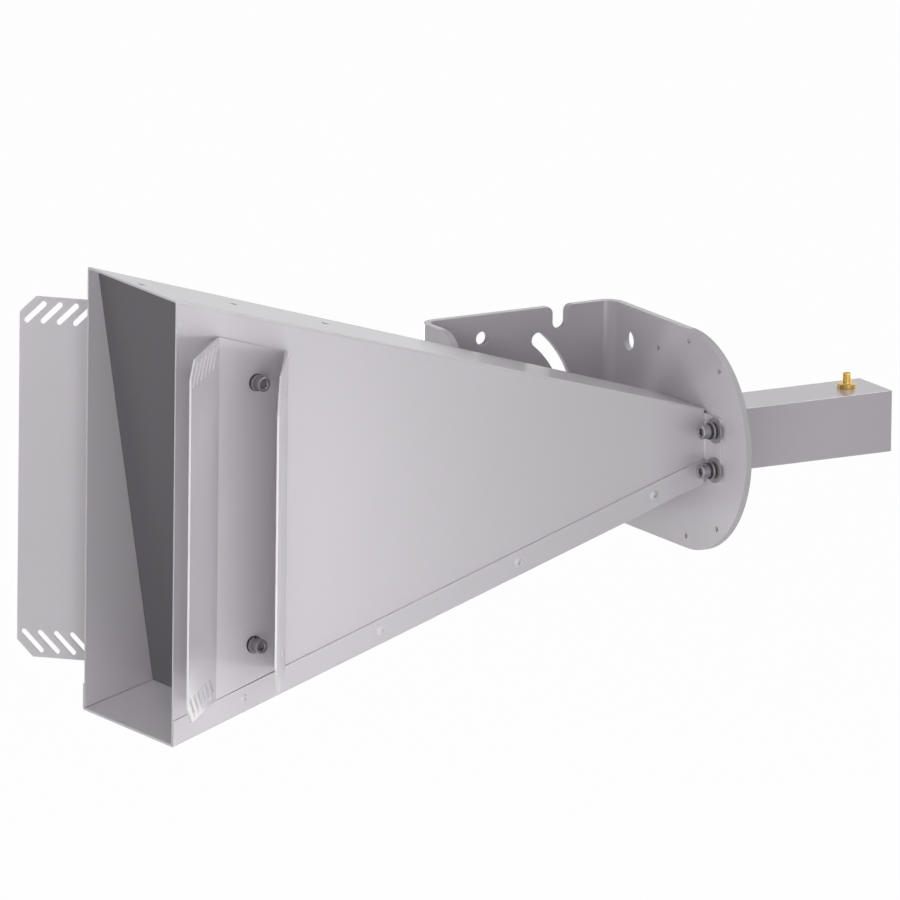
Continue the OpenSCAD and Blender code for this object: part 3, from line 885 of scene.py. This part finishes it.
# Place, width and power of each round lamp
LAMPS = {
    "near_lamp": ((0.6, -0.375, 0.0), 0.5, 1.62),
    "low_lamp": ((0.6, -0.4, -0.25), 0.4, 0.4),
    "side_lamp": ((1.4, 0.1, 0.0), 1.1, 2.5),
    "front_lamp": ((0.3, -1.6, 0.3), 1.0, 6.1),
    "left_lamp": ((-1.1, -1.2, 0.5), 1.0, 2.7),
    "top_lamp": ((0.2, -1.0, 1.4), 1.0, 2.8),
    "rear_lamp": ((0.2, 0.8, 1.4), 1.0, 9.6),
    "back_lamp": ((-0.2, 1.6, -0.25), 1.6, 9.0),
    "far_lamp": ((-1.4, 0.13, -0.35), 0.7, 7.0),
}
LAMP_AIM = Vector((0.12, -0.1, 0.0))
FLOOR_CENTRE, FLOOR_RADIUS = (0.1, 0.0), 14.0
# Share of the floor that is seen as plain white, while the rest takes the shadow
FLOOR_GLOW = 0.985
# Lamps that stand too near to be mirrored in the metal
UNMIRRORED = ("near_lamp", "low_lamp")


class ANTENNA_OT_set_stage(bpy.types.Operator):
    """Lay the floor, light it and set the camera"""

    bl_idname = "antenna.set_stage"
    bl_label = "Set Stage"

    def execute(self, context):
        p = context.scene.antenna_stage
        self.lay_floor(p)
        self.light(context.scene, p)
        self.set_camera(context.scene, p)
        context.scene.view_settings.view_transform = "Standard"
        return {"FINISHED"}

    def seen_ray(self, tree):
        """1 for rays by which the stage is seen, straight or in metal, and 0 for those that light."""
        path = tree.nodes.new("ShaderNodeLightPath")
        total = path.outputs["Is Camera Ray"]
        for ray in ("Is Glossy Ray", "Is Transmission Ray"):
            more = tree.nodes.new("ShaderNodeMath")
            more.operation = "MAXIMUM"
            tree.links.new(total, more.inputs[0])
            tree.links.new(path.outputs[ray], more.inputs[1])
            total = more.outputs[0]
        return total

    def lay_floor(self, p):
        bpy.ops.object.select_all(action="DESELECT")
        bpy.ops.mesh.primitive_circle_add(
            vertices=96,
            radius=FLOOR_RADIUS,
            fill_type="NGON",
            location=(*FLOOR_CENTRE, cad_box[0].z - p.drop),
        )
        floor = bpy.context.object
        floor.name = "studio_floor"
        paper = bpy.data.materials.new("floor_paper")
        paper.use_nodes = True
        tree = paper.node_tree
        tree.nodes.clear()
        matt = tree.nodes.new("ShaderNodeBsdfDiffuse")
        matt.inputs["Color"].default_value = (0.9, 0.9, 0.9, 1.0)
        glow = tree.nodes.new("ShaderNodeEmission")
        share = tree.nodes.new("ShaderNodeMath")
        share.operation = "MULTIPLY"
        share.inputs[1].default_value = FLOOR_GLOW
        tree.links.new(self.seen_ray(tree), share.inputs[0])
        mix = tree.nodes.new("ShaderNodeMixShader")
        tree.links.new(share.outputs[0], mix.inputs["Fac"])
        tree.links.new(matt.outputs[0], mix.inputs[1])
        tree.links.new(glow.outputs[0], mix.inputs[2])
        out = tree.nodes.new("ShaderNodeOutputMaterial")
        tree.links.new(mix.outputs[0], out.inputs["Surface"])
        floor.data.materials.append(paper)

    def light(self, scene, p):
        world = scene.world or bpy.data.worlds.new("studio")
        scene.world = world
        world.use_nodes = True
        tree = world.node_tree
        tree.nodes.clear()
        soft = tree.nodes.new("ShaderNodeBackground")
        soft.inputs["Strength"].default_value = p.sky
        white = tree.nodes.new("ShaderNodeBackground")
        for sky in (soft, white):
            sky.inputs["Color"].default_value = (1.0, 1.0, 1.0, 1.0)
        mix = tree.nodes.new("ShaderNodeMixShader")
        tree.links.new(self.seen_ray(tree), mix.inputs["Fac"])
        tree.links.new(soft.outputs[0], mix.inputs[1])
        tree.links.new(white.outputs[0], mix.inputs[2])
        out = tree.nodes.new("ShaderNodeOutputWorld")
        tree.links.new(mix.outputs[0], out.inputs["Surface"])
        for name, (place, size, power) in LAMPS.items():
            bpy.ops.object.light_add(type="AREA", location=place)
            lamp = bpy.context.object
            lamp.name = name
            lamp.data.shape = "DISK"
            lamp.data.size = size
            lamp.data.energy = power * p.lamps
            lamp.visible_glossy = name not in UNMIRRORED
            lamp.rotation_mode = "QUATERNION"
            lamp.rotation_quaternion = (LAMP_AIM - lamp.location).to_track_quat("-Z", "Y")

    def set_camera(self, scene, p):
        a, e = p.azimuth, p.elevation
        back = Vector((math.sin(a) * math.cos(e), -math.cos(a) * math.cos(e), math.sin(e)))
        up = back.cross(Vector((math.cos(a), math.sin(a), 0.0)))
        place = Vector(p.mouth) + back * p.distance
        back = (place - Vector(p.aim)).normalized()
        right = up.cross(back).normalized()
        turn = Matrix((right, back.cross(right), back)).transposed().to_4x4()
        bpy.ops.object.camera_add(location=place)
        camera = bpy.context.object
        camera.matrix_world = Matrix.Translation(place) @ turn @ Matrix.Rotation(p.roll, 4, "Z")
        camera.data.lens = p.lens
        camera.data.clip_end = 100.0
        scene.camera = camera


# Sidebar


class ANTENNA_PT_sidebar(bpy.types.Panel):
    """Lists the antenna's steps in the sidebar"""

    bl_idname = "ANTENNA_PT_sidebar"
    bl_label = "Sector Antenna"
    bl_space_type = "VIEW_3D"
    bl_region_type = "UI"
    bl_category = "Antenna"

    def draw(self, context):
        for step in STEPS:
            self.layout.operator(step.bl_idname)


STEPS = (
    ANTENNA_OT_dress_sheets,
    ANTENNA_OT_dress_bracket,
    ANTENNA_OT_dress_waveguide,
    ANTENNA_OT_dress_radome,
    ANTENNA_OT_make_screws,
    ANTENNA_OT_dress_washers,
    ANTENNA_OT_dress_rivets,
    ANTENNA_OT_dress_feed,
    ANTENNA_OT_set_stage,
)
SETTINGS = {
    "antenna_sheet": AntennaSheet,
    "antenna_screws": AntennaScrews,
    "antenna_feed": AntennaFeed,
    "antenna_stage": AntennaStage,
}


def register():
    for cls in (*SETTINGS.values(), *STEPS, ANTENNA_PT_sidebar):
        bpy.utils.register_class(cls)
    for name, cls in SETTINGS.items():
        setattr(bpy.types.Scene, name, bpy.props.PointerProperty(type=cls))


def unregister():
    for name in SETTINGS:
        delattr(bpy.types.Scene, name)
    for cls in reversed((*SETTINGS.values(), *STEPS, ANTENNA_PT_sidebar)):
        bpy.utils.unregister_class(cls)


def main():
    register()
    bpy.ops.antenna.dress_sheets()
    bpy.ops.antenna.dress_bracket()
    bpy.ops.antenna.dress_waveguide()
    bpy.ops.antenna.dress_radome()
    bpy.ops.antenna.make_screws()
    bpy.ops.antenna.dress_washers()
    bpy.ops.antenna.dress_rivets()
    bpy.ops.antenna.dress_feed()
    bpy.ops.antenna.set_stage()


if __name__ == "__main__":
    main()
